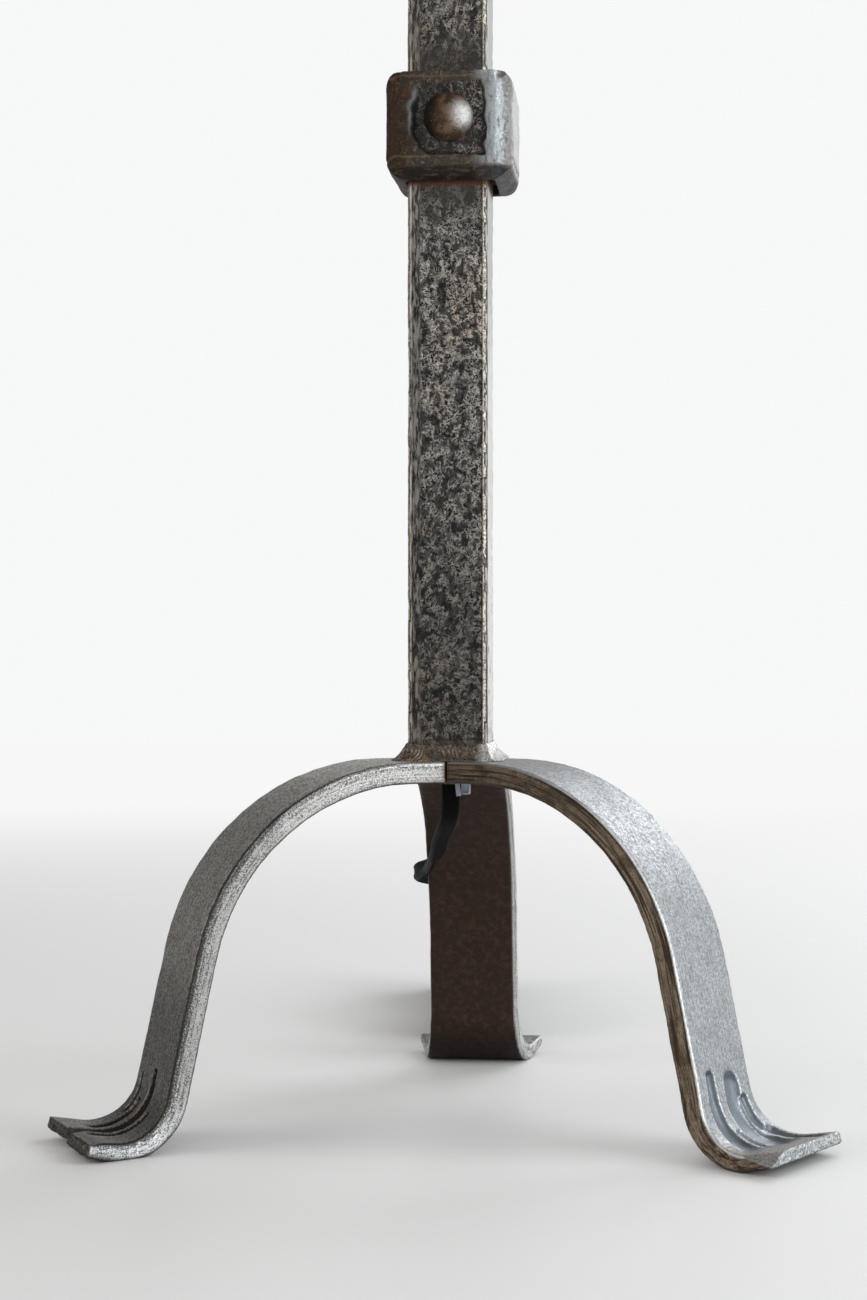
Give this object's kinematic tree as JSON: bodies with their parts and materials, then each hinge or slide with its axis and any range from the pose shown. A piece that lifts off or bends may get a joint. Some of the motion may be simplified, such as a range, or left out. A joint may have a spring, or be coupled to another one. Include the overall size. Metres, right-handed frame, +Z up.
{
  "type": "table lamp",
  "caption": "Forged iron table lamp: tripod of bent flat bar with fluted flared feet, square stem with a riveted square collar, turn-key socket, harp, fabric shade, flat lead and plug.",
  "frame": {"origin": "on the table, on the vertical axis of the stem", "axes": "+Z up; +Y towards the rear leg and the hank of the lead; the switch key faces -Y; the two front legs lie at 30 degrees below the X axis, left and right"},
  "size_m": [0.331, 0.4741, 0.6784],
  "materials": {
    "iron": "hand-forged mild steel under clear wax: scaled grey-black with silver and brown patches",
    "weld": "rippled weld bead, straw to bronze heat colours",
    "rivet": "hammered dome, brown-black with a bright worn side",
    "zinc": "zinc-plated steel",
    "brass": "drawn brass, slightly dull",
    "card": "waxed fibre board",
    "bakelite": "moulded, satin",
    "glass": "frosted inside",
    "glass_foot": "clear",
    "porcelain": "black glass-ceramic",
    "linen": "natural linen on a lining",
    "linen_tape": "folded linen tape",
    "lead": "black flexible sheath, satin",
    "nylon": "natural nylon, translucent",
    "nylon_black": "black nylon",
    "plug": "moulded, fine grain"
  },
  "bodies": {
    "lamp": {"leg_rear": "iron", "leg_front_left": "iron", "leg_front_right": "iron", "seam_welds": "weld", "stem_tube": "iron", "stem_weld": "weld", "collar": "iron", "collar_rivet_front": "rivet", "collar_rivet_back": "rivet", "stem_cap": "iron", "nipple": "zinc", "nipple_nut": "zinc", "neck": "iron", "harp_saddle": "zinc", "harp_wire": "brass", "harp_stud": "brass", "socket_cap": "brass", "socket_shell": "brass", "socket_liner": "card", "socket_body": "bakelite", "screw_shell": "brass", "centre_contact": "brass", "terminal_screws": "brass", "socket_wires": "lead", "inner_lead": "lead", "cable_tie": "nylon", "lead_drop": "lead", "lead_hank": "lead", "lead_tail": "lead", "hank_tie": "nylon_black", "plug_body": "plug", "plug_blades": "zinc"},
    "key": {"switch_shaft": "zinc", "switch_key": "bakelite"},
    "bulb": {"bulb_glass": "glass", "bulb_cap": "zinc", "bulb_insulator": "porcelain", "bulb_contact": "zinc", "bulb_mount": "glass_foot", "bulb_filament": "zinc"},
    "shade": {"spider_hub": "zinc", "shade_spider": "zinc", "shade_rings": "zinc", "shade_cover": "linen", "shade_tape": "linen_tape"},
    "finial": {"finial": "iron"},
    "left_ferrule": {"ferrule_left": "brass"},
    "right_ferrule": {"ferrule_right": "brass"}
  },
  "joints": [
    {"name": "key_turn", "type": "hinge", "parent": "lamp", "child": "key", "pos_m": [0, -0.02, 0.4702], "axis": [0, -1, 0], "continuous": true},
    {"name": "bulb_turn", "type": "hinge", "parent": "lamp", "child": "bulb", "pos_m": [0, 0, 0.5], "axis": [0, 0, 1], "range_deg": [0, 1800]},
    {"name": "shade_turn", "type": "hinge", "parent": "lamp", "child": "shade", "pos_m": [0, 0, 0.646], "axis": [0, 0, 1], "continuous": true},
    {"name": "finial_turn", "type": "hinge", "parent": "lamp", "child": "finial", "pos_m": [0, 0, 0.66], "axis": [0, 0, 1], "range_deg": [0, 3600]},
    {"name": "left_ferrule_slide", "type": "slide", "parent": "lamp", "child": "left_ferrule", "axis": [0, 0, 1], "range_m": [0, 0.014]},
    {"name": "right_ferrule_slide", "type": "slide", "parent": "lamp", "child": "right_ferrule", "axis": [0, 0, 1], "range_m": [0, 0.014]}
  ]
}
